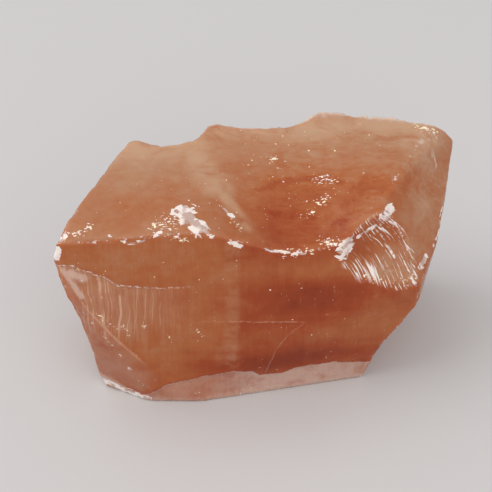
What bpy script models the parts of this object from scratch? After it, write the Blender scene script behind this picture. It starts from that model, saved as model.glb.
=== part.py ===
"""Calcite specimen: one broken chunk of banded red-orange calcite, 76 mm long, resting on its flat base.

Lengths are in millimetres until the finished mesh is scaled to metres. +Z is up, +X runs along the
length to the right, and -Y is the front, where the large cleavage face stands. The chunk is made the
way it broke: a block, trimmed by cleavage and fracture planes, with shell-shaped scars struck out of
its edges and a slow waviness over the broken faces.
"""

import math

import bmesh
import bpy
from mathutils import Matrix, Vector, noise

METRES_PER_MM = 0.001

# The block is larger than the chunk, and every plane and scar is measured from its core.
BLOCK_SIZE = 110.0
CORE_HEIGHT = 20.0
CORE = Vector((0.0, 0.0, CORE_HEIGHT))

# Each plane's outward normal, as a bearing in degrees from +X towards +Y and a pitch above the
# horizon, and its distance from the core.
PLANES = {
    "base": (0, -90, CORE_HEIGHT),
    "front_cleavage": (-85, 5, 22.1),
    "front_foot": (-78, -6, 24.0),
    "front_foot_left": (-92, -17, 29.5),
    "ridge_chip": (-86, 63, 27.95),
    "top": (-71, 81.5, 23.5),
    "right_slope": (-35, 32, 34.6),
    "right_shoulder": (-38, 57, 32.3),
    "right_end": (-9, -5, 37.4),
    "right_end_front": (-24, -4, 36.8),
    "right_back": (32, -8, 37.8),
    "left_end": (178, -9, 30.4),
    "left_lower": (-116, -12, 33.8),
    "left_back": (158, 15, 26.9),
    "back_left": (110, 6, 12.0),
    "back": (102, 8, 11.9),
    "back_right": (84, 8, 16.2),
    "back_heel": (95, -42, 21.5),
}

# Each scar is where an ellipsoid bit into the block: its centre, measured from the point of the
# floor below the core, its radii, and its turn about Z in degrees. The ellipsoids are built with
# facets no longer than SCAR_FACET.
SCARS = {
    "hackle": ((31.2, -29.0, 39.7), (16.5, 16.5, 16.5), 0),
    "right_undercut": ((71.0, -12.0, -8.5), (48.5, 48.5, 48.5), 0),
    "left_hollow": ((-72.0, -62.0, 17.0), (50.0, 50.0, 50.0), 0),
    "rim_notch": ((-16.0, 10.3, 44.0), (9.0, 9.5, 13.0), 0),
    "back_hollow": ((0.5, 25.0, 28.0), (24.0, 20.0, 40.0), 0),
    "back_corner": ((43.0, 46.0, 12.0), (34.0, 34.0, 26.0), 0),
    "back_foot": ((-27.0, 38.0, -6.0), (28.0, 29.0, 22.0), 15),
}
SCAR_FACET = 4.0

# The trough in the top sags the front ridge: it is deepest at the front and at the top of the stone,
# and fades out towards the back and towards its root.
TROUGH_DEPTH = 5.6
TROUGH_CENTRE = 11.0
TROUGH_HALF_WIDTH = 19.0
TROUGH_FRONT = -20.0
TROUGH_BACK = 5.0
TROUGH_ROOT = 18.0
TROUGH_TOP = 41.0

# The faces are divided every SLICE; corners closer together than SNAP are merged.
SLICE = 4.0
SNAP = 0.1
# Each wave's length and height, and the height above the base at which the waves are full.
WAVES = ((24.0, 1.0), (8.0, 0.3))
CALM_HEIGHT = 4.0
DRIFT_OFFSETS = (Vector((11.3, 4.1, 7.7)), Vector((3.9, 17.2, 5.3)), Vector((8.6, 2.4, 13.1)))
SHARP_ANGLE = math.radians(25)


def direction(bearing, pitch):
    """Unit vector of a bearing and a pitch in degrees."""
    bearing, pitch = math.radians(bearing), math.radians(pitch)
    level = math.cos(pitch)
    return Vector((level * math.cos(bearing), level * math.sin(bearing), math.sin(pitch)))


def trim(block, bearing, pitch, reach):
    """Cut off everything beyond one plane and close the cut."""
    normal = direction(bearing, pitch)
    geometry = block.verts[:] + block.edges[:] + block.faces[:]
    cut = bmesh.ops.bisect_plane(block, geom=geometry, plane_co=CORE + normal * reach, plane_no=normal,
                                 clear_outer=True)
    rim = [item for item in cut["geom_cut"] if isinstance(item, bmesh.types.BMEdge)]
    bmesh.ops.edgeloop_fill(block, edges=rim)


def trimmed_block():
    """The block, trimmed to the flat-sided chunk."""
    block = bmesh.new()
    bmesh.ops.create_cube(block, size=BLOCK_SIZE, matrix=Matrix.Translation(CORE))
    for bearing, pitch, reach in PLANES.values():
        trim(block, bearing, pitch, reach)
    bmesh.ops.recalc_face_normals(block, faces=block.faces[:])
    mesh = bpy.data.meshes.new("chunk")
    block.to_mesh(mesh)
    block.free()
    return mesh


def scar_cutter(name, centre, radii, turn):
    """The ellipsoid that one scar is struck out by."""
    ball = bmesh.new()
    shape = Matrix.LocRotScale(Vector(centre), Matrix.Rotation(math.radians(turn), 3, "Z"), Vector(radii))
    detail = math.ceil(math.log2(max(radii) / SCAR_FACET)) + 1
    bmesh.ops.create_icosphere(ball, subdivisions=detail, radius=1.0, matrix=shape)
    mesh = bpy.data.meshes.new(name)
    ball.to_mesh(mesh)
    ball.free()
    return bpy.data.objects.new(name, mesh)


def strike_scars(chunk, collection):
    """Take every scar out of the chunk, and leave it a plain mesh."""
    cutters = []
    for name, (centre, radii, turn) in SCARS.items():
        cutter = scar_cutter(name, centre, radii, turn)
        cutter.display_type = "WIRE"
        cutter.hide_render = True
        collection.objects.link(cutter)
        scar = chunk.modifiers.new(name, "BOOLEAN")
        scar.operation = "DIFFERENCE"
        scar.solver = "EXACT"
        scar.object = cutter
        cutters.append(cutter)
    evaluated = chunk.evaluated_get(bpy.context.evaluated_depsgraph_get())
    struck = bpy.data.meshes.new_from_object(evaluated)
    chunk.modifiers.clear()
    chunk.data = struck
    for cutter in cutters:
        bpy.data.objects.remove(cutter)


def slice_faces(mesh):
    """Divide the faces along an even grid, so that they can take the waviness."""
    for axis in range(3):
        ends = [vertex.co[axis] for vertex in mesh.verts]
        step = Vector((0.0, 0.0, 0.0))
        step[axis] = 1.0
        place = math.ceil(min(ends) / SLICE) * SLICE
        while place < max(ends):
            geometry = mesh.verts[:] + mesh.edges[:] + mesh.faces[:]
            bmesh.ops.bisect_plane(mesh, geom=geometry, dist=SNAP / 2, plane_co=step * place, plane_no=step)
            place += SLICE


def ease(low, high, value):
    """0 at low, 1 at high, with a smooth rise between."""
    t = min(max((value - low) / (high - low), 0.0), 1.0)
    return t * t * (3.0 - 2.0 * t)


def trough(place):
    """How far the stone at one place lies below the flat top that it would have had."""
    across = 1.0 - ((place.x - TROUGH_CENTRE) / TROUGH_HALF_WIDTH) ** 2
    along = ease(TROUGH_BACK, TROUGH_FRONT, place.y)
    return TROUGH_DEPTH * max(across, 0.0) ** 1.5 * along * ease(TROUGH_ROOT, TROUGH_TOP, place.z)


def drift(place):
    """A smooth push in all three directions that changes slowly from place to place."""
    return Vector([noise.noise(place + offset) for offset in DRIFT_OFFSETS])


def bend(mesh):
    """Sink the trough, bend the broken faces out of true a little, and leave the base flat."""
    for vertex in mesh.verts:
        vertex.co.z -= trough(vertex.co)
        calm = min(vertex.co.z / CALM_HEIGHT, 1.0)
        for length, height in WAVES:
            vertex.co += drift(vertex.co / length) * height * calm


def finish_surface(chunk):
    """Slice and wave the chunk's faces, centre it over the origin and scale it to metres."""
    mesh = bmesh.new()
    mesh.from_mesh(chunk.data)
    slice_faces(mesh)
    bmesh.ops.remove_doubles(mesh, verts=mesh.verts[:], dist=SNAP)
    bmesh.ops.triangulate(mesh, faces=mesh.faces[:])
    bend(mesh)
    places = [vertex.co for vertex in mesh.verts]
    lows = [min(place[axis] for place in places) for axis in range(3)]
    highs = [max(place[axis] for place in places) for axis in range(3)]
    shift = Vector((-(lows[0] + highs[0]) / 2, -(lows[1] + highs[1]) / 2, -lows[2]))
    bmesh.ops.translate(mesh, verts=mesh.verts[:], vec=shift)
    bmesh.ops.scale(mesh, verts=mesh.verts[:], vec=Vector((METRES_PER_MM,) * 3))
    mesh.to_mesh(chunk.data)
    mesh.free()
    chunk.data.shade_smooth()
    chunk.data.set_sharp_from_angle(angle=SHARP_ANGLE)


def calcite_material():
    """Glossy, slightly translucent honey-red calcite."""
    material = bpy.data.materials.new("calcite")
    material.use_nodes = True
    shader = material.node_tree.nodes["Principled BSDF"]
    shader.inputs["Base Color"].default_value = (0.40, 0.15, 0.07, 1.0)
    shader.inputs["Roughness"].default_value = 0.18
    shader.inputs["Metallic"].default_value = 0.0
    return material


def new_collection(name):
    collection = bpy.data.collections.new(name)
    bpy.context.scene.collection.children.link(collection)
    return collection


def main():
    for item in list(bpy.data.objects):
        bpy.data.objects.remove(item)
    parts = new_collection("calcite_specimen")
    cutters = new_collection("cutters")
    chunk = bpy.data.objects.new("calcite_chunk", trimmed_block())
    parts.objects.link(chunk)
    strike_scars(chunk, cutters)
    finish_surface(chunk)
    chunk.data.materials.clear()
    chunk.data.materials.append(calcite_material())


main()
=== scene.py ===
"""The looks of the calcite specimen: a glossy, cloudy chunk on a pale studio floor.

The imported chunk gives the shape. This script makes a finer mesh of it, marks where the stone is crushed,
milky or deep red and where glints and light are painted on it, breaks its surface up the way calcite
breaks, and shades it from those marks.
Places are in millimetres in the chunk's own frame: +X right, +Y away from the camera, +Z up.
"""

import math

import bmesh
import bpy
import numpy as np
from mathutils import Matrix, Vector, kdtree


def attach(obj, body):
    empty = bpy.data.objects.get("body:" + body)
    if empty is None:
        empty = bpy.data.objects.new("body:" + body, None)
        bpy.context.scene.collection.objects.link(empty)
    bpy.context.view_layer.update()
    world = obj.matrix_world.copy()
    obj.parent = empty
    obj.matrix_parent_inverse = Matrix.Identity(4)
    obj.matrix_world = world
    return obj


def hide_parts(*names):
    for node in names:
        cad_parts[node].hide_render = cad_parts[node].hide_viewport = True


MM = 0.001

# The fine mesh: the size of its cells, the angle that makes an edge of the chunk a sharp one, how often
# the faces between the sharp edges are halved to round them, and how close in metres corners are joined.
CELL = 0.40
SHARP_ANGLE = math.radians(29)
SOFTEN_LEVELS = 2
MERGE_DISTANCE = 1e-6
# The fine mesh and its normals are smoothed for this many rounds before the marks are read from them.
RELAX_ROUNDS = 3
NORMAL_ROUNDS = 4
# The sharp edges are sampled this closely, and a distance to them is cut off at the reach.
EDGE_SAMPLE = 0.5
EDGE_REACH = 10.0

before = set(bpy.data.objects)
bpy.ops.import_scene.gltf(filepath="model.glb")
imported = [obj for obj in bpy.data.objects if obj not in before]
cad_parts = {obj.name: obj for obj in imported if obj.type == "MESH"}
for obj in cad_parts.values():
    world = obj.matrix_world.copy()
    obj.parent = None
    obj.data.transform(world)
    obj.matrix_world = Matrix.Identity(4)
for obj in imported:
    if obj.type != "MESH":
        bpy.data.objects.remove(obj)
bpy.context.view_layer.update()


# ---------------------------------------------------------------- numbers and noise

def smoothstep(low, high, value):
    """0 below low, 1 above high, and a smooth rise between."""
    t = np.clip((value - low) / (high - low), 0.0, 1.0)
    return t * t * (3.0 - 2.0 * t)


class Noise:
    """Gradient noise over points, from about -1 to 1, the same on every run."""

    # How many slopes there are before they repeat, and what brings the sum to about -1 to 1.
    SLOPES = 256
    GAIN = 1.6

    def __init__(self, seed):
        random = np.random.RandomState(seed)
        self.order = np.concatenate([random.permutation(self.SLOPES)] * 2)
        directions = random.normal(size=(self.SLOPES, 3))
        self.slopes = directions / np.linalg.norm(directions, axis=1)[:, None]

    def __call__(self, points):
        cell = np.floor(points).astype(int)
        inside = points - cell
        cell %= self.SLOPES
        fade = inside ** 3 * (inside * (inside * 6.0 - 15.0) + 10.0)
        total = np.zeros(len(points))
        for corner in np.ndindex(2, 2, 2):
            place = cell + np.array(corner)
            key = self.order[place[:, 0] % self.SLOPES] + place[:, 1]
            key = self.order[key % self.SLOPES] + place[:, 2]
            slope = self.slopes[self.order[key % self.SLOPES]]
            weight = np.prod(np.where(corner, fade, 1.0 - fade), axis=1)
            total += weight * np.sum(slope * (inside - np.array(corner)), axis=1)
        return total * self.GAIN


drift = Noise(3)
grain = Noise(8)
streak = Noise(21)


def layered(noise, points, octaves):
    """Noise with finer and weaker copies of itself laid over it."""
    total = np.zeros(len(points))
    for octave in range(octaves):
        total += noise(points * 2.0 ** octave) / 2.0 ** octave
    return total


def path_distance(points, path):
    """Distance from each point to a path."""
    path = np.asarray(path, float)
    nearest = np.full(len(points), np.inf)
    for start, end in zip(path[:-1], path[1:]):
        step = end - start
        t = np.clip((points - start) @ step / (step @ step), 0.0, 1.0)
        gap = np.linalg.norm(points - start - t[:, None] * step, axis=1)
        nearest = np.minimum(nearest, gap)
    return nearest


# ---------------------------------------------------------------- the fine mesh

def clean_copy(node):
    """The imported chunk's mesh, with its corners joined and its sharp edges creased, and those edges."""
    shape = bmesh.new()
    shape.from_mesh(node.data)
    bmesh.ops.remove_doubles(shape, verts=shape.verts[:], dist=MERGE_DISTANCE)
    crease = shape.edges.layers.float.new("crease_edge")
    corners = []
    for edge in shape.edges:
        if edge.calc_face_angle(0.0) > SHARP_ANGLE:
            edge[crease] = 1.0
            corners.append((edge.verts[0].co / MM, edge.verts[1].co / MM))
    mesh = bpy.data.meshes.new("calcite_surface")
    shape.to_mesh(mesh)
    shape.free()
    return mesh, corners


def evaluated_mesh(piece):
    """A new mesh with the piece's modifiers applied."""
    graph = bpy.context.evaluated_depsgraph_get()
    return bpy.data.meshes.new_from_object(piece.evaluated_get(graph))


def fine_piece(node):
    """A finely and evenly divided copy of the chunk, and the chunk's sharp edges."""
    mesh, corners = clean_copy(node)
    piece = bpy.data.objects.new("calcite_surface", mesh)
    bpy.context.scene.collection.objects.link(piece)
    soften = piece.modifiers.new("soften", "SUBSURF")
    soften.levels = soften.render_levels = SOFTEN_LEVELS
    even = piece.modifiers.new("even", "REMESH")
    even.mode = "VOXEL"
    even.voxel_size = CELL * MM
    mesh = evaluated_mesh(piece)
    piece.modifiers.clear()
    piece.data = mesh
    return piece, corners


def read_points(mesh):
    points = np.empty(len(mesh.vertices) * 3)
    mesh.vertices.foreach_get("co", points)
    return points.reshape(-1, 3) / MM


def read_normals(mesh):
    normals = np.empty(len(mesh.vertices) * 3)
    mesh.vertex_normals.foreach_get("vector", normals)
    return normals.reshape(-1, 3)


def read_edges(mesh):
    edges = np.empty(len(mesh.edges) * 2, dtype=int)
    mesh.edges.foreach_get("vertices", edges)
    return edges.reshape(-1, 2)


def write_points(mesh, points):
    mesh.vertices.foreach_set("co", (points * MM).ravel())
    mesh.update()


def relaxed(values, edges, rounds):
    """Values drawn halfway to the mean of their neighbours, again and again."""
    count = np.zeros(len(values))
    np.add.at(count, edges.ravel(), 1.0)
    count = count.reshape(-1, *[1] * (values.ndim - 1))
    for _ in range(rounds):
        total = np.zeros_like(values)
        np.add.at(total, edges[:, 0], values[edges[:, 1]])
        np.add.at(total, edges[:, 1], values[edges[:, 0]])
        values = (values + total / count) / 2.0
    return values


def edge_distance(points, corners):
    """Distance from each point to the chunk's nearest sharp edge."""
    samples = []
    for start, end in corners:
        count = max(1, math.ceil((end - start).length / EDGE_SAMPLE))
        samples.extend(start.lerp(end, index / count) for index in range(count + 1))
    tree = kdtree.KDTree(len(samples))
    for index, sample in enumerate(samples):
        tree.insert(sample, index)
    tree.balance()
    return np.minimum([tree.find(point)[2] for point in points], EDGE_REACH)


rock, rock_corners = fine_piece(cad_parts["calcite_chunk"])


# ---------------------------------------------------------------- where the stone's marks are

# Lines on the front face, as (x, z): the step over the cloudy left corner, the ragged top of the pale
# foot, and the top and the side of the hairline crack.
CORNER_STEP = (
    (-38.0, 35.8), (-34.0, 35.3), (-31.0, 33.5), (-28.8, 32.6), (-26.6, 30.6), (-19.0, 29.3),
)
FOOT_TOP = (
    (-24.0, 1.5), (-19.0, 4.8), (-6.3, 7.4), (-2.4, 7.1), (-0.5, 5.2), (4.5, 5.2), (6.5, 6.1),
    (13.5, 6.2), (21.5, 5.2),
)
CRACK_TOP = ((-19.0, 21.3), (-4.3, 20.4), (7.9, 19.0))
CRACK_SIDE = ((0.5, 6.0), (2.6, 12.5), (4.6, 16.0), (7.6, 18.6))
# The edge from the left corner down to the foot, as (x, z).
LEFT_CREASE = ((-35.0, 31.0), (-33.0, 26.0), (-27.4, 17.1), (-20.0, 7.0))
# On the front face: the pale stripe's x, and the small pale square's centre as (x, z). The tone is a
# little deeper to the right of SHADE_X and below SHADE_TOP.
STRIPE_X = -5.9
SQUARE_CENTRE = (-7.2, 11.6)
SHADE_X = -4.7
SHADE_TOP = 36.0
# The middle of the top face has more painted glints: the centre of that patch, as (x, y), and its radii.
SPRINKLE_CENTRE = (3.0, 0.0)
SPRINKLE_RADII = (11.0, 8.0)

# Crushed white stone: a path in the chunk's frame, and how far the crushing reaches from it. The last path
# is a painted glint, a streak of reflected light drawn as crushed white stone.
CRUSHED = (
    (((-37.4, -20.0, 37.4), (-36.2, -18.5, 41.0)), 1.3),
    (((-14.8, -12.2, 42.0), (-13.2, -14.6, 41.8), (-11.2, -16.0, 41.2)), 3.1),
    (((-27.9, -17.7, 40.7), (-24.0, -18.3, 39.4), (-21.8, -18.1, 39.6), (-18.6, -17.2, 41.0)), 0.5),
    (((-6.6, -16.5, 38.7), (-5.0, -16.8, 38.1), (-4.0, -16.9, 37.4)), 0.75),
    (((0.7, -16.0, 36.0), (4.4, -15.7, 35.0), (7.6, -15.3, 34.2)), 0.55),
    (((14.6, -14.0, 34.4), (15.8, -12.8, 35.4)), 2.7),
    (((17.3, -12.0, 35.6), (20.9, -10.0, 36.8)), 0.55),
    (((22.4, -9.2, 38.0), (23.9, -7.6, 38.8)), 1.6),
    (((30.9, -9.4, 28.3), (29.9, -11.6, 27.6)), 1.3),
    (((35.2, 0.4, 32.4), (34.2, -4.0, 29.4), (33.2, -6.0, 28.6)), 0.8),
    (((-33.0, -14.0, 3.6), (-29.5, -17.6, 1.4), (-23.0, -19.4, 0.6)), 2.2),
    # A painted glint, not crushed stone: a streak of reflected light.
    (((-7.8, -9.4, 41.0), (-5.8, -11.2, 40.0)), 0.7),
)
# Scattered painted glints, highlights of reflected light painted into the colour, given in the same way.
PAINTED_GLINTS = (
    (((-19.6, -15.8, 41.5), (-16.0, -14.6, 41.8)), 3.2),
    (((-35.4, -18.4, 41.0), (-31.0, -16.7, 41.9)), 1.6),
    (((-17.2, -16.4, 41.0), (-14.8, -17.8, 39.6)), 2.2),
    (((10.2, -13.4, 36.0), (13.6, -14.0, 35.4)), 2.6),
    (((-6.0, -12.0, 39.6), (-4.0, -13.6, 38.9)), 1.6),
    (((10.0, -1.0, 41.0), (13.0, -1.4, 41.0)), 2.6),
    (((10.2, -5.6, 38.9), (11.8, -5.0, 39.0)), 1.8),
    (((7.2, -7.8, 37.3), (9.0, -7.4, 37.5)), 1.8),
    (((1.8, 3.4, 42.6), (2.2, 3.2, 42.6)), 1.6),
    (((30.0, 12.5, 43.8), (34.0, 11.5, 43.0)), 2.2),
    (((4.0, -16.0, 35.0), (8.5, -15.0, 34.6)), 2.0),
    (((18.4, -15.0, 28.7), (23.0, -15.0, 27.9), (29.0, -14.0, 27.2)), 0.8),
    (((-30.8, -20.8, 24.0), (-27.2, -20.5, 20.0)), 0.9),
    (((-26.4, -20.4, 20.8), (-25.2, -20.3, 18.2)), 0.8),
    (((-22.6, -20.0, 21.4), (-22.2, -20.0, 19.8)), 0.7),
    (((-18.0, -19.8, 18.2), (-17.6, -19.8, 17.0)), 0.8),
    (((-12.6, -19.3, 19.0), (-11.6, -19.2, 17.3)), 0.9),
    (((-36.0, -20.4, 35.6), (-30.9, -20.8, 33.4), (-26.6, -20.4, 30.6)), 0.9),
)
# Milky haze inside the stone, given in the same way. The band along the back is painted light shining
# through the thin back of the stone.
MILK_AND_BACK_GLOW = (
    (((-14.5, 5.0, 44.2), (-9.0, -5.0, 42.4)), 5.0),
    (((-9.0, -5.0, 42.4), (-3.4, -12.3, 38.6)), 2.4),
    (((-25.0, 4.0, 44.0), (-12.0, 6.0, 44.0)), 8.0),
    # Painted light: this band along the back stands for light through the thin stone.
    (((-10.0, 10.0, 44.0), (34.0, 14.0, 44.0)), 6.0),
    (((28.0, 8.0, 43.0), (33.0, 10.0, 42.5)), 3.5),
)
# Depths of colour: the centre and the radii of each, and how far it shifts the tone. The one on the right
# facet is painted light that lightens that side.
DEPTHS = (
    ((5.0, -13.0, 36.6), (13.0, 10.0, 5.5), -0.38),
    ((12.0, -3.0, 40.0), (13.0, 5.0, 4.0), -0.13),
    ((10.0, -17.0, 24.5), (16.0, 7.0, 5.5), -0.32),
    ((6.0, -17.0, 9.0), (20.0, 7.0, 3.5), -0.30),
    ((-14.0, -19.0, 35.5), (22.0, 6.0, 6.0), 0.17),
    ((12.0, -16.5, 31.5), (12.0, 5.0, 3.0), 0.12),
    ((24.0, -15.0, 18.0), (8.0, 8.0, 8.0), 0.16),
    ((-12.0, -19.0, 22.0), (9.0, 6.0, 5.0), 0.08),
    ((-20.0, -19.0, 12.0), (10.0, 6.0, 6.0), 0.04),
    # Painted light: this one lightens the right facet as if more light fell on it.
    ((32.0, 2.0, 38.0), (8.0, 12.0, 10.0), 0.18),
    ((3.0, -17.0, 32.0), (9.0, 5.0, 3.0), 0.13),
    ((-15.0, -18.5, 32.0), (6.0, 5.0, 4.0), -0.08),
    ((-24.0, -14.0, 42.0), (14.0, 6.0, 4.0), -0.07),
    ((-27.0, 0.0, 43.0), (9.0, 9.0, 4.0), 0.12),
    ((18.0, -16.0, 31.0), (9.0, 5.0, 3.5), 0.10),
    ((12.0, 8.0, 43.5), (20.0, 5.0, 3.0), 0.06),
)
# Pale lines and lenses, given in the same way.
PALE_LINES = (
    (((-36.4, -20.3, 34.8), (-33.4, -20.7, 28.4)), 1.2),
    (((-35.0, -20.3, 33.8), (-33.0, -20.4, 32.6)), 2.0),
    (((-33.5, -14.5, 4.5), (-29.0, -18.0, 2.0)), 4.0),
    (((33.3, 7.9, 41.6), (33.9, 6.3, 38.9), (33.6, 2.4, 37.6)), 0.7),
    (((32.3, 9.4, 42.6), (32.9, 6.8, 40.4)), 0.6),
)
# Brown smudges under the top face, given in the same way.
SMUDGES = (
    (((19.0, -3.5, 41.0), (25.7, -2.8, 40.8), (30.0, 1.0, 40.0), (34.4, 2.1, 35.6)), 5.0),
    (((22.0, 8.5, 43.0), (29.0, 9.5, 43.0)), 1.6),
    (((-1.5, -4.0, 40.5), (3.0, -1.6, 40.4), (9.0, -0.8, 40.8), (15.0, -2.0, 40.9)), 1.3),
    (((-1.0, -7.5, 39.0), (6.0, -9.0, 37.8), (13.0, -10.0, 37.6), (18.0, -8.5, 38.4)), 1.3),
)
# Thin flakes that stand up along the back rim, given in the same way.
RIM_FLAKES = (
    (((6.5, 15.0, 44.6), (15.5, 15.6, 44.8)), 1.6),
    (((20.5, 15.0, 44.3), (27.5, 14.4, 44.0)), 1.6),
)
# The scar below the right corner is part of a sphere. Its hackle lines fan out from an apex, given as
# (x, z), and the places across them are measured at FAN_LENGTH from it.
FAN_CENTRE = (27.9, -24.9, 39.7)
FAN_RADIUS = 16.5
FAN_APEX = (6.0, 62.0)
FAN_LENGTH = 38.0
# The hackle lines run past the scar here, given as the crushed stone is.
FAN_SPILL = (
    (((16.6, -14.6, 31.4), (19.4, -14.6, 29.2)), 2.5),
)
# The shell-shaped ripples at the back spread from this place on the rim.
RING_CENTRE = (-3.0, 12.0, 46.0)


def near(points, paths):
    """1 on the nearest path, falling to 0 at its reach."""
    share = np.zeros(len(points))
    for path, reach in paths:
        share = np.maximum(share, 1.0 - path_distance(points, path) / reach)
    return share


def below(across, height, line):
    """How far each place lies below a line that is given as (across, height)."""
    line = np.asarray(line)
    return np.interp(across, line[:, 0], line[:, 1]) - height


def ragged(points, size):
    """A wandering that makes a straight line ragged, from about -1 to 1."""
    return layered(grain, points / size, 3)


# How far apart the walls between the cleavage plates at the back and the sides are, and those between
# the finer plates that cross them.
PLATE_SPACING = 4.2
FINE_PLATE_SPACING = 2.3


def plate_height(points):
    """The height that the cleavage plates at the back and the sides are stacked by."""
    x, y, z = points.T
    return 0.8 * z + 0.45 * x + 0.2 * y + 1.6 * drift(points / 11.0)


def seam_distance(height, spacing):
    """How far each place is from the nearest wall between two plates."""
    return np.abs((height / spacing + 0.55) % 1.0 - 0.5) * spacing


def plates(height, spacing, wall):
    """Flat plates, each at its own level from about -1 to 1, with narrow walls between them."""
    step = height / spacing
    tread = np.floor(step)
    flat = tread * 0.0
    lower, upper = (drift(np.stack([tread + lead, flat, flat], axis=1) * 0.61) for lead in (0, 1))
    blend = smoothstep(1.0 - wall, 1.0, step - tread)
    return lower * (1.0 - blend) + upper * blend


def tone_mark(points, front, top, scar):
    """How pale the stone is, from its deepest tone (0) to its palest (1), with painted light on the right
    facet.
    """
    x, z = points[:, 0], points[:, 2]
    tone = 0.45 + 0.20 * top + 0.05 * ragged(points, 4.0) + 0.10 * scar
    for centre, radii, shift in DEPTHS:
        tone += shift * np.exp(-np.sum(((points - centre) / radii) ** 2, axis=1))
    shade = smoothstep(-0.2, 0.2, x - SHADE_X) * smoothstep(-0.5, -3.0, z - SHADE_TOP)
    return tone - 0.06 * shade * front


def stripe_mark(points, front):
    """The pale upright stripe on the front, and the small pale square beside it."""
    x, z = points[:, 0], points[:, 2]
    wander = 0.5 * drift(points * (0.0, 0.0, 0.15))
    stripe = smoothstep(1.7, 0.9, np.abs(x - STRIPE_X + wander)) * smoothstep(6.0, 9.0, z)
    across, up = np.abs(x - SQUARE_CENTRE[0]), np.abs(z - SQUARE_CENTRE[1])
    square = smoothstep(2.2, 2.0, across) * smoothstep(3.1, 2.9, up)
    return (stripe + 0.8 * square) * front


def fan_marks(points):
    """Each place's position across the hackle lines, in millimetres, and its distance from their apex."""
    x, z = points[:, 0], points[:, 2]
    reach = np.hypot(x - FAN_APEX[0], z - FAN_APEX[1])
    curl = 0.03 * np.clip(FAN_LENGTH - reach, 0.0, 7.0) ** 2 * smoothstep(26.0, 18.0, x)
    return np.arctan2(x - FAN_APEX[0], FAN_APEX[1] - z) * FAN_LENGTH + curl, reach


def read_marks(points, normals, corners):
    """How frosted, crushed, milky, deep or bright the stone is, and where light is painted on it, as one
    number per point for each.
    """
    x, y, z = points.T
    front = smoothstep(0.35, 0.75, -normals[:, 1])
    top = smoothstep(0.35, 0.75, normals[:, 2])
    scar = smoothstep(0.75, 0.35, np.abs(np.linalg.norm(points - FAN_CENTRE, axis=1) - FAN_RADIUS))

    hem = z + 5.0 * streak(points * (0.7, 0.0, 0.02))
    veil = front * smoothstep(-10.0, -26.0, x) * smoothstep(15.5, 23.0, hem)
    lower_left = smoothstep(0.0, 0.6, below(x, z, LEFT_CREASE)) * smoothstep(-19.0, -24.0, x) * front
    fan_across, fan_along = fan_marks(points)
    # Painted glints are sprinkled thinly over the top and the front, and more thickly in the middle of the
    # top.
    patch = (points[:, :2] - SPRINKLE_CENTRE) / SPRINKLE_RADII
    sprinkle = 0.10 * np.maximum(top, front) + 0.20 * top * np.exp(-np.sum(patch ** 2, axis=1))
    return {
        "tone": tone_mark(points, front, top, scar),
        "top": top,
        "front": front,
        # Milky haze, and the painted light along the back.
        "milk": 0.9 * smoothstep(0.0, 0.9, near(points, MILK_AND_BACK_GLOW)) * top,
        "stripe": stripe_mark(points, front),
        "corner_step": below(x, z, CORNER_STEP) + 0.25 * ragged(points, 1.8),
        "veil": veil,
        "lower_left": lower_left,
        "crease": np.abs(below(x, z, LEFT_CREASE)) + 0.12 * ragged(points, 2.5),
        "crease_fade": front * smoothstep(9.0, 15.0, z) * smoothstep(31.5, 29.0, z),
        "foot": below(x, z, FOOT_TOP) + 0.30 * ragged(points, 2.2),
        # The foot is partly frosted and partly painted with light bounced up from the floor, paler to the
        # right and along its bottom edge.
        "foot_frost_and_light": 0.45 + 0.55 * smoothstep(-12.0, 1.0, x) + 0.3 * smoothstep(1.6, 0.6, z),
        "crushed": near(points, CRUSHED),
        "painted_glints": np.maximum(near(points, PAINTED_GLINTS), sprinkle),
        "smudge": near(points, SMUDGES) * np.clip(top + 0.8 * smoothstep(24.0, 28.0, x), 0.0, 1.0),
        # Painted light: where the back rim glows pale through its thin edge.
        "back_rim_glow": smoothstep(6.0, 12.0, y) * smoothstep(40.0, 42.0, z),
        "pale_lines": near(points, PALE_LINES),
        "seam": seam_distance(plate_height(points), PLATE_SPACING),
        "busy": 0.12 + 0.88 * smoothstep(-10.0, 6.0, x) * top,
        "edge": edge_distance(points, corners),
        "crack_top": below(x, z, CRACK_TOP) + 0.1 * ragged(points, 1.5),
        "crack_top_fade": front * smoothstep(-14.0, -4.0, x) * smoothstep(8.2, 7.8, x),
        "crack_side": below(z, x, [(height, across) for across, height in CRACK_SIDE]),
        "crack_side_fade": front * smoothstep(5.5, 6.5, z) * smoothstep(19.2, 18.6, z),
        "scar": scar,
        "fan_spill": smoothstep(0.0, 0.5, near(points, FAN_SPILL)),
        "flake": smoothstep(0.0, 0.8, near(points, RIM_FLAKES)),
        "fan_across": fan_across,
        "fan_along": fan_along,
    }


# About how far the surface moves: a rise swings out and in, the flakes' only out, and a drop goes in.
PLATE_RISE = 1.7
FINE_PLATE_RISE = 0.50
RIPPLE_RISE = 0.14
HACKLE_RISE = 0.14
FLAKE_RISE = 0.45
STEP_DROP = 0.26
FOOT_DROP = 0.30
CRUSH_DROP = 0.12
BITE_DROP = 0.35
EDGE_DROP = 0.08
# The corner's step and the foot's top drop within this short way.
STEP_WIDTH = 0.22


def side_rise(points):
    """The stacked plates and the shell-shaped ripples of the back and the sides."""
    x, z = points[:, 0], points[:, 2]
    fine_height = 0.8 * x - 0.6 * z + 1.5 * drift(points / 8.0)
    rings = np.linalg.norm((points - RING_CENTRE) * (1.0, 0.6, 0.8), axis=1)
    ripples = np.sin(rings * 1.9 + 2.0 * drift(points / 10.0)) * smoothstep(30.0, 12.0, rings)
    rise = PLATE_RISE * plates(plate_height(points), PLATE_SPACING, 0.08)
    rise += FINE_PLATE_RISE * plates(fine_height, FINE_PLATE_SPACING, 0.12)
    return rise + 0.10 * drift(points * (0.5, 0.5, 0.12)) + RIPPLE_RISE * ripples


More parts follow.
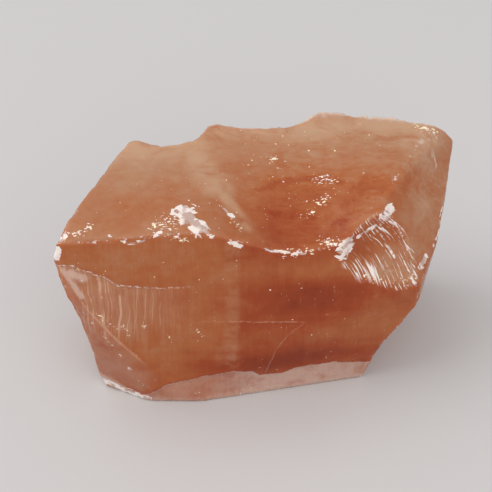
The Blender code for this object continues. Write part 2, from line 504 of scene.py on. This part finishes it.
def front_rise(points):
    """The fine upright striping of the front face, and its slow level waves."""
    return 0.035 * streak(points * (1.3, 0.2, 0.05)) + 0.05 * drift(points * (0.06, 0.3, 0.5))


def top_rise(points):
    """The waves of the top face, drawn out to the left and the right."""
    return 0.16 * drift(points * (0.07, 0.20, 0.1)) + 0.05 * drift(points * (0.3, 0.8, 0.4))


def hackle_rise(marks):
    """The ridges that fan out over the scar."""
    across, along = marks["fan_across"] * 1.3, marks["fan_along"] * 0.15
    return HACKLE_RISE * streak(np.stack([across, along, 0.0 * along], axis=1))


def edge_drop(points, edge):
    """How deep the sharp edges are bitten and worn."""
    bites = smoothstep(0.05, 0.45, grain(points * 0.33) + 0.4 * grain(points * 0.9))
    return BITE_DROP * smoothstep(1.0, 0.0, edge) * bites + EDGE_DROP * smoothstep(0.6, 0.0, edge)


def broken_surface(points, normals, marks):
    """The points, moved in and out the way that calcite breaks."""
    x, z = points[:, 0], points[:, 2]
    front, top, scar, edge = (marks[name] for name in ("front", "top", "scar", "edge"))
    # The plates fade out towards the sharp edges, so the chunk keeps its outline.
    side = np.clip(1.0 - front - top, 0.0, 1.0) * smoothstep(0.5, 4.5, edge)

    rise = 0.04 * layered(grain, points / 1.7, 3)
    rise += top * top_rise(points) + front * front_rise(points) + side * side_rise(points)
    rise += scar * hackle_rise(marks)
    flakes = smoothstep(0.2, 0.7, near(points, RIM_FLAKES))
    rise += FLAKE_RISE * flakes * smoothstep(0.0, 0.3, grain(points * 0.5) + 0.2)

    rise -= STEP_DROP * smoothstep(0.0, STEP_WIDTH, marks["corner_step"]) * marks["veil"]
    foot = front * smoothstep(-24.0, -20.0, x)
    rise -= FOOT_DROP * smoothstep(0.0, STEP_WIDTH, marks["foot"]) * foot
    pits = 1.0 + 1.2 * grain(points * 0.7)
    rise -= CRUSH_DROP * smoothstep(0.35, 0.5, marks["crushed"]) * pits
    rise -= edge_drop(points, edge)
    # The base stays flat.
    calm = smoothstep(0.2, 2.0, z)
    return points + normals * (rise * calm)[:, None]


def break_up(mesh, corners):
    """Smooth the fine mesh, break its surface up, and store its marks on it for the material."""
    edges = read_edges(mesh)
    points = relaxed(read_points(mesh), edges, RELAX_ROUNDS)
    write_points(mesh, points)
    normals = read_normals(mesh)
    marks = read_marks(points, relaxed(normals, edges, NORMAL_ROUNDS), corners)
    write_points(mesh, broken_surface(points, normals, marks))
    for name, values in marks.items():
        column = mesh.attributes.new(name, "FLOAT", "POINT")
        column.data.foreach_set("value", values.astype(np.float32))
    mesh.shade_smooth()


break_up(rock.data, rock_corners)


# ---------------------------------------------------------------- material

# A noise's scale is about how many of its shapes lie on a millimetre.

# The stone's colour from its deepest tone (0) to its palest (1).
TONES = (
    (0.00, (0.240, 0.032, 0.007)),
    (0.25, (0.335, 0.058, 0.013)),
    (0.50, (0.415, 0.123, 0.038)),
    (0.75, (0.455, 0.222, 0.118)),
    (1.00, (0.530, 0.340, 0.220)),
)
# The colour of the milky haze, and of the painted light along the thin back.
MILKY_AND_GLOW = (0.56, 0.35, 0.215)
FROSTED = (0.52, 0.27, 0.165)
PINK = (0.42, 0.185, 0.12)
# The foot's colour: its frost, and painted light bounced up from the floor.
FOOT_FROST_AND_FLOOR_LIGHT = (0.56, 0.36, 0.29)
WHITE = (0.92, 0.84, 0.79)
POWDER = (0.58, 0.42, 0.36)
WARM_LINE = (0.78, 0.50, 0.36)
# The painted glints are white and this gold.
GLINT_GOLD = (1.0, 0.84, 0.60)
THIN_FLAKE = (0.60, 0.47, 0.40)


class Graph:
    """Short ways to build one material's nodes. Values are sockets or plain numbers."""

    def __init__(self, name):
        self.material = bpy.data.materials.new(name)
        self.material.use_nodes = True
        self.nodes = self.material.node_tree.nodes
        self.links = self.material.node_tree.links
        self.shader = self.nodes["Principled BSDF"]

    def put(self, socket, value):
        if isinstance(value, bpy.types.NodeSocket):
            self.links.new(value, socket)
        elif isinstance(value, tuple) and len(socket.default_value) == 4:
            socket.default_value = (*value, 1.0)
        else:
            socket.default_value = value

    def add(self, kind, inputs, output=0, **settings):
        node = self.nodes.new(kind)
        for setting, value in settings.items():
            setattr(node, setting, value)
        for place, value in inputs.items():
            self.put(node.inputs[place], value)
        return node.outputs[output]

    def mark(self, name):
        return self.add("ShaderNodeAttribute", {}, "Fac", attribute_name=name)

    def millimetres(self):
        """The place on the stone, in millimetres."""
        coordinates = self.add("ShaderNodeTexCoord", {}, "Object")
        return self.stretch(coordinates, (1.0 / MM,) * 3)

    def stretch(self, vector, scale):
        return self.add("ShaderNodeVectorMath", {0: vector, 1: scale}, operation="MULTIPLY")

    def noise(self, vector, scale, detail, distortion=0.0):
        inputs = {"Vector": vector, "Scale": scale, "Detail": detail, "Distortion": distortion}
        return self.add("ShaderNodeTexNoise", inputs, "Fac")

    def cells(self, vector, scale):
        """A random number for each cell of a broken-up space, and the distance from the cell's core."""
        node = self.nodes.new("ShaderNodeTexVoronoi")
        self.put(node.inputs["Vector"], vector)
        self.put(node.inputs["Scale"], scale)
        random = self.add("ShaderNodeSeparateColor", {0: node.outputs["Color"]}, "Red")
        return random, node.outputs["Distance"]

    def math(self, operation, first, second=0.0, clamp=False):
        return self.add("ShaderNodeMath", {0: first, 1: second}, operation=operation, use_clamp=clamp)

    def times(self, *values):
        total = values[0]
        for value in values[1:]:
            total = self.math("MULTIPLY", total, value)
        return total

    def strongest(self, *values):
        total = values[0]
        for value in values[1:]:
            total = self.math("MAXIMUM", total, value)
        return total

    def sway(self, start, *terms):
        """The start, pushed up and down by noises that average one half, each with its own strength."""
        for value, strength in terms:
            offset = self.math("SUBTRACT", value, 0.5)
            start = self.math("ADD", start, self.times(offset, strength))
        return start

    def between(self, value, low, high):
        """0 at low, 1 at high, with a smooth rise between. High may lie below low."""
        inputs = {"Value": value, "From Min": low, "From Max": high}
        return self.add("ShaderNodeMapRange", inputs, interpolation_type="SMOOTHSTEP")

    def ramp(self, value, stops):
        node = self.nodes.new("ShaderNodeValToRGB")
        while len(node.color_ramp.elements) < len(stops):
            node.color_ramp.elements.new(0.5)
        for element, (position, colour) in zip(node.color_ramp.elements, stops):
            element.position = position
            element.color = (*colour, 1.0)
        self.put(node.inputs["Fac"], value)
        return node.outputs["Color"]

    def mix(self, share, first, second):
        """A colour between two colours."""
        inputs = {0: share, 6: first, 7: second}
        return self.add("ShaderNodeMix", inputs, 2, data_type="RGBA")

    def blend(self, share, first, second):
        """A number between two numbers."""
        return self.add("ShaderNodeMix", {0: share, 2: first, 3: second}, data_type="FLOAT")


class Stone(Graph):
    """The calcite's nodes, with the noises that several of its layers share."""

    def __init__(self):
        super().__init__("calcite")
        self.place = self.millimetres()
        self.front = self.mark("front")
        not_front = self.math("SUBTRACT", 1.0, self.front)
        self.flank = self.math("SUBTRACT", not_front, self.mark("top"), clamp=True)
        self.clouds = self.noise(self.place, 0.16, 4.0, 1.0)
        self.mottle = self.noise(self.place, 0.7, 5.0, 0.6)
        self.grit = self.noise(self.place, 2.6, 4.0)
        self.bands = self.drawn_out((0.03, 0.10, 0.30), 2.0, 0.8)
        self.upright = self.drawn_out((1.7, 1.7, 0.05), 2.0)
        self.scratches = self.drawn_out((3.2, 3.2, 0.07), 2.0)
        self.drifts = self.drawn_out((0.07, 0.22, 0.22), 4.0, 1.0)
        self.layers = self.drawn_out((0.045, 0.045, 0.16), 4.0, 0.8)
        self.crumbs = self.cells(self.place, 2.4)[0]

    def drawn_out(self, scale, detail, distortion=0.0):
        """Noise with its own scale along each axis: the smaller the scale, the longer its shapes."""
        return self.noise(self.stretch(self.place, scale), 1.0, detail, distortion)


def inner_tone(g):
    """How pale the stone is inside: clouds, veins and bands over the tone marked on the mesh."""
    veins = g.drawn_out((0.30, 0.75, 0.75), 6.0, 1.2)
    tone = g.sway(g.mark("tone"), (g.clouds, 0.24), (g.mottle, 0.16), (g.grit, 0.08), (g.drifts, 0.22))
    tone = g.sway(tone, (veins, g.times(g.mark("busy"), 0.40)))
    tone = g.sway(tone, (g.layers, g.times(g.flank, 0.60)), (g.clouds, g.times(g.flank, 0.35)))
    tone = g.math("ADD", tone, g.times(g.flank, 0.06))
    tone = g.sway(tone, (g.bands, g.times(g.front, 0.16)), (g.upright, g.times(g.front, 0.12)))
    smudge = g.between(g.sway(g.mark("smudge"), (g.mottle, 2.4), (g.grit, 0.8)), 0.35, 0.80)
    tone = g.math("SUBTRACT", tone, g.times(smudge, 0.13))
    shaded = g.between(g.mark("crack_top"), -0.2, 0.3)
    return g.math("SUBTRACT", tone, g.times(shaded, g.mark("crack_top_fade"), 0.06))


def add_clouds(g, colour):
    """The milky band on top, partly painted light through the thin back, the pale stripe in front and the
    haze on the flanks.
    """
    # The milky band, with painted light where it runs along the back.
    milk = g.times(g.mark("milk"), g.between(g.sway(g.clouds, (g.drifts, 0.5)), 0.20, 0.65))
    colour = g.mix(g.times(milk, 0.85), colour, MILKY_AND_GLOW)
    stripe = g.between(g.sway(g.bands, (g.mottle, 0.6)), 0.2, 0.6)
    colour = g.mix(g.times(g.mark("stripe"), stripe, 0.15), colour, MILKY_AND_GLOW)
    haze = g.between(g.sway(g.layers, (g.clouds, 0.8)), 0.50, 0.86)
    return g.mix(g.times(g.flank, haze, 0.5), colour, MILKY_AND_GLOW)


def cloudy_corner(g):
    """The veil over the left corner, the bright line along the step above it, and its thin drips."""
    step = g.sway(g.mark("corner_step"), (g.mottle, 0.6), (g.grit, 0.6))
    stepped = g.between(step, 0.0, 0.15)
    veil = g.times(stepped, g.mark("veil"), g.blend(g.between(g.upright, 0.36, 0.66), 0.34, 0.62))
    step_line = g.between(g.math("ABSOLUTE", step), 0.26, 0.06)
    step_line = g.times(step_line, g.mark("veil"), g.between(g.grit, 0.42, 0.60))
    bend = g.times(g.drawn_out((0.08, 0.08, 0.10), 1.0), 4.0)
    sideways = g.add("ShaderNodeCombineXYZ", {0: bend})
    bent = g.add("ShaderNodeVectorMath", {0: g.place, 1: sideways}, operation="ADD")
    drip = g.noise(g.stretch(bent, (0.60, 0.0, 0.004)), 1.0, 1.0)
    drip = g.between(g.math("ABSOLUTE", g.sway(0.0, (drip, 1.0))), 0.030, 0.008)
    return veil, step_line, g.times(drip, stepped, g.mark("veil"), g.between(g.clouds, 0.38, 0.55))


def frosted_and_floor_lit_foot(g):
    """How far each place lies below the foot's ragged top, and how pale the foot is there, from its frost
    and from painted light bounced up from the floor.
    """
    depth = g.sway(g.mark("foot"), (g.mottle, 0.7), (g.grit, 0.4))
    return depth, g.times(g.between(depth, 0.0, 0.2), g.front, g.mark("foot_frost_and_light"))


def add_foot(g, colour, depth, foot):
    """The foot's frost, thicker and thinner, and painted light from the floor on it, with a dark line
    above it.
    """
    thick = g.between(g.sway(g.clouds, (g.mottle, 0.5), (g.upright, 0.3)), 0.20, 0.65)
    # Painted light: the foot is made paler as if lit from the floor below, as well as frosted.
    colour = g.mix(g.times(foot, g.blend(thick, 0.50, 1.0)), colour, FOOT_FROST_AND_FLOOR_LIGHT)
    dark_line = g.times(g.between(depth, -0.9, -0.1), g.between(depth, 0.1, 0.0), g.front)
    return g.mix(g.times(dark_line, 0.35), colour, TONES[0][1])


def hackles(g):
    """The noise that fans out over the scar, and the bright lines that it draws there."""
    fan_place = {0: g.mark("fan_across"), 1: g.times(g.mark("fan_along"), 0.07)}
    fan = g.noise(g.add("ShaderNodeCombineXYZ", fan_place), 3.0, 3.0, 0.3)
    spill = g.mark("fan_spill")
    lines = g.between(g.math("ADD", fan, g.times(spill, 0.02)), 0.54, 0.61)
    share = g.between(g.math("ADD", g.mottle, g.times(spill, 0.25)), 0.36, 0.52)
    return fan, g.times(lines, g.strongest(g.mark("scar"), spill), share)


def white_lines(g, step_line, foot_depth, hackle_lines):
    """Thin white lines: the steps, the hackles, the worn edges, the lenses, and painted light glowing
    through the thin rim at the back.
    """
    foot_line = g.times(g.between(g.math("ABSOLUTE", foot_depth), 0.18, 0.05), g.front)
    edge = g.sway(g.mark("edge"), (g.mottle, 2.4), (g.grit, 1.2))
    edge_line = g.times(g.between(edge, 0.15, -0.15), g.blend(g.flank, 0.55, 0.12))
    lens = g.between(g.sway(g.mark("pale_lines"), (g.mottle, 0.6), (g.grit, 0.3)), 0.35, 0.85)
    # Painted light: a pale glow along the thin back rim.
    back_rim_glow = g.times(g.between(g.sway(g.mark("edge"), (g.mottle, 1.2)), 0.9, 0.1), g.mark("back_rim_glow"), 0.55)
    faded = g.times(step_line, 0.8), g.times(foot_line, 0.3), g.times(hackle_lines, 0.95)
    return g.strongest(*faded, edge_line, g.times(lens, 0.30), back_rim_glow)


def hairline_crack(g):
    """The crack in the front face, which runs level and then turns down."""
    top = g.math("ABSOLUTE", g.sway(g.mark("crack_top"), (g.grit, 0.5)))
    top = g.times(g.between(top, 0.22, 0.04), g.mark("crack_top_fade"), g.between(g.mottle, 0.3, 0.6))
    side = g.math("ABSOLUTE", g.sway(g.mark("crack_side"), (g.mottle, 1.0), (g.grit, 0.5)))
    side = g.times(g.between(side, 0.22, 0.04), g.mark("crack_side_fade"), g.between(g.grit, 0.25, 0.6))
    return g.strongest(top, g.times(side, 0.7))


def warm_lines(g, drip):
    """Fine warm lines: the seams between plates, the crack, the drips, the left crease and scratches."""
    seam = g.between(g.sway(g.mark("seam"), (g.mottle, 0.9), (g.grit, 0.6)), 0.20, 0.0)
    seam = g.times(seam, g.flank, g.between(g.clouds, 0.46, 0.66), 0.32)
    crease = g.times(g.between(g.mark("crease"), 0.75, 0.10), g.mark("crease_fade"), 0.42)
    scratch = g.times(g.between(g.scratches, 0.58, 0.78), g.front, g.between(g.clouds, 0.50, 0.66), 0.18)
    return g.strongest(seam, g.times(hairline_crack(g), 0.30), g.times(drip, 0.50), crease, scratch)


def crushed_stone(g):
    """Where the stone is crushed to white chips, and how bright each chip is."""
    bays = g.noise(g.place, 0.45, 1.0)
    chips = g.cells(g.stretch(g.place, (0.8, 1.1, 1.1)), 1.0)[0]
    crushed = g.sway(g.mark("crushed"), (bays, 0.8), (g.mottle, 0.35), (chips, 0.50), (g.grit, 0.10))
    crushed = g.times(g.between(crushed, 0.42, 0.50), g.between(g.mark("crushed"), 0.0, 0.08))
    bright = g.between(g.sway(chips, (g.crumbs, 0.2), (bays, 1.4), (g.grit, 0.5)), 0.25, 0.75)
    return crushed, bright


def painted_glints(g):
    """Painted glints: small bright highlights painted into the colour, and a few painted sparks between
    them.
    """
    strokes = g.drawn_out((1.5, 3.0, 3.0), 2.0)
    # Painted highlights: bright strokes of reflected light, painted as colour.
    flakes = g.between(g.sway(g.mark("painted_glints"), (strokes, 3.4), (g.crumbs, 0.5)), 1.05, 1.16)
    flash, core = g.cells(g.place, 1.6)
    flash = g.math("ADD", flash, g.times(g.mark("painted_glints"), 0.10))
    spark = g.times(g.between(flash, 1.0, 1.003), g.between(g.sway(core, (g.grit, 0.8)), 0.24, 0.14))
    return g.strongest(flakes, spark)


def set_gloss(g, foot, veil, crushed):
    """Glossy and faintly see-through, and duller where the stone is frosted or crushed."""
    rough = g.blend(g.between(g.clouds, 0.35, 0.65), 0.07, 0.18)
    matt = g.strongest(g.times(foot, 0.45), g.times(veil, 0.25), g.times(crushed, 0.45))
    g.put(g.shader.inputs["Roughness"], g.math("ADD", rough, matt))
    g.shader.inputs["IOR"].default_value = 1.58
    g.shader.inputs["Specular IOR Level"].default_value = 0.22
    g.shader.inputs["Subsurface Weight"].default_value = 0.35
    g.shader.inputs["Subsurface Radius"].default_value = (1.0, 0.35, 0.18)
    g.shader.inputs["Subsurface Scale"].default_value = 0.004


def set_relief(g, foot, crushed, fan, lines):
    """Relief too fine for the mesh."""
    fine = g.noise(g.place, 6.0, 3.0)
    height = g.sway(0.0, (g.mottle, 0.5), (g.grit, 0.16), (fine, g.blend(crushed, 0.03, 0.22)))
    height = g.sway(height, (g.upright, g.times(g.front, 0.35)), (g.scratches, g.times(g.front, 0.10)))
    height = g.sway(height, (fan, g.times(g.mark("scar"), 1.2)), (g.grit, g.times(foot, 0.5)))
    height = g.math("ADD", height, g.times(lines, 0.15))
    bump = {"Height": height, "Strength": 0.8, "Distance": 0.25 * MM}
    g.put(g.shader.inputs["Normal"], g.add("ShaderNodeBump", bump))


def calcite():
    """Cloudy honey-red calcite: banded inside, striated in front, frosted and crushed where it broke, with
    painted glints and painted light on its foot, its back and its right facet.
    """
    g = Stone()
    veil, step_line, drip = cloudy_corner(g)
    foot_depth, foot = frosted_and_floor_lit_foot(g)
    fan, hackle_lines = hackles(g)
    lines = white_lines(g, step_line, foot_depth, hackle_lines)
    crushed, bright = crushed_stone(g)

    colour = add_clouds(g, g.ramp(inner_tone(g), TONES))
    colour = g.mix(veil, colour, FROSTED)
    lower_left = g.times(g.mark("lower_left"), g.between(g.clouds, 0.2, 0.7))
    colour = g.mix(g.times(lower_left, 0.65), colour, PINK)
    colour = add_foot(g, colour, foot_depth, foot)
    flake = g.times(g.mark("flake"), g.between(g.mottle, 0.30, 0.60), 0.8)
    colour = g.mix(flake, colour, THIN_FLAKE)
    colour = g.mix(lines, colour, WHITE)
    colour = g.mix(warm_lines(g, drip), colour, WARM_LINE)
    colour = g.mix(g.times(crushed, 0.92), colour, g.mix(bright, POWDER, WHITE))
    # The painted glints: white and gold highlights laid over the colour.
    colour = g.mix(painted_glints(g), colour, g.mix(g.between(g.mottle, 0.40, 0.60), WHITE, GLINT_GOLD))
    g.put(g.shader.inputs["Base Color"], colour)

    set_gloss(g, foot, veil, crushed)
    set_relief(g, foot, crushed, fan, lines)
    return g.material


rock.data.materials.clear()
rock.data.materials.append(calcite())
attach(rock, "root")
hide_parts("calcite_chunk")


# ---------------------------------------------------------------- studio

FLOOR_COLOUR = (0.62, 0.60, 0.59, 1.0)
FLOOR_ROUGHNESS = 0.85
FLOOR_HALF_SIZE = 3.0
SKY_COLOUR = (0.96, 0.97, 1.0, 1.0)
SKY_STRENGTH = 0.68
# Each soft light's name, place and width in metres, power in watts, and colour.
LIGHTS = (
    ("window", (-0.85, -0.10, 1.10), 1.2, 7.5, (1.0, 0.98, 0.96)),
    ("fill", (0.3, -1.0, 0.8), 1.3, 5.0, (1.0, 0.97, 0.94)),
)
CAMERA_TARGET = Vector((-3.28, 4.12, 20.0)) * MM
CAMERA_DISTANCE = 0.250
CAMERA_ELEVATION = math.radians(40)
CAMERA_LENS = 90.0
CAMERA_SENSOR = 36.0
CAMERA_CLIP = 0.01


def add_floor():
    """A plain sheet of pale paper."""
    mesh = bpy.data.meshes.new("floor")
    sheet = bmesh.new()
    bmesh.ops.create_grid(sheet, x_segments=1, y_segments=1, size=FLOOR_HALF_SIZE)
    sheet.to_mesh(mesh)
    sheet.free()
    floor = bpy.data.objects.new("floor", mesh)
    bpy.context.scene.collection.objects.link(floor)
    material = bpy.data.materials.new("floor_paper")
    material.use_nodes = True
    shader = material.node_tree.nodes["Principled BSDF"]
    shader.inputs["Base Color"].default_value = FLOOR_COLOUR
    shader.inputs["Roughness"].default_value = FLOOR_ROUGHNESS
    mesh.materials.append(material)


def add_light(name, place, size, power, colour):
    """A soft square light that faces the chunk."""
    lamp = bpy.data.lights.new(name, "AREA")
    lamp.size = size
    lamp.energy = power
    lamp.color = colour
    light = bpy.data.objects.new(name, lamp)
    light.location = place
    light.rotation_euler = (CAMERA_TARGET - Vector(place)).to_track_quat("-Z", "Y").to_euler()
    bpy.context.scene.collection.objects.link(light)


def add_camera():
    """A camera in front of the chunk that looks down on it."""
    forward = Vector((0.0, math.cos(CAMERA_ELEVATION), -math.sin(CAMERA_ELEVATION)))
    data = bpy.data.cameras.new("camera")
    data.lens = CAMERA_LENS
    data.sensor_width = CAMERA_SENSOR
    data.clip_start = CAMERA_CLIP
    camera = bpy.data.objects.new("camera", data)
    camera.location = CAMERA_TARGET - forward * CAMERA_DISTANCE
    camera.rotation_euler = forward.to_track_quat("-Z", "Y").to_euler()
    bpy.context.scene.collection.objects.link(camera)
    bpy.context.scene.camera = camera


def studio():
    """The floor, the light and the camera."""
    world = bpy.context.scene.world or bpy.data.worlds.new("studio")
    bpy.context.scene.world = world
    world.use_nodes = True
    background = world.node_tree.nodes["Background"]
    background.inputs["Color"].default_value = SKY_COLOUR
    background.inputs["Strength"].default_value = SKY_STRENGTH
    add_floor()
    for light in LIGHTS:
        add_light(*light)
    add_camera()
    bpy.context.scene.view_settings.view_transform = "Standard"


studio()
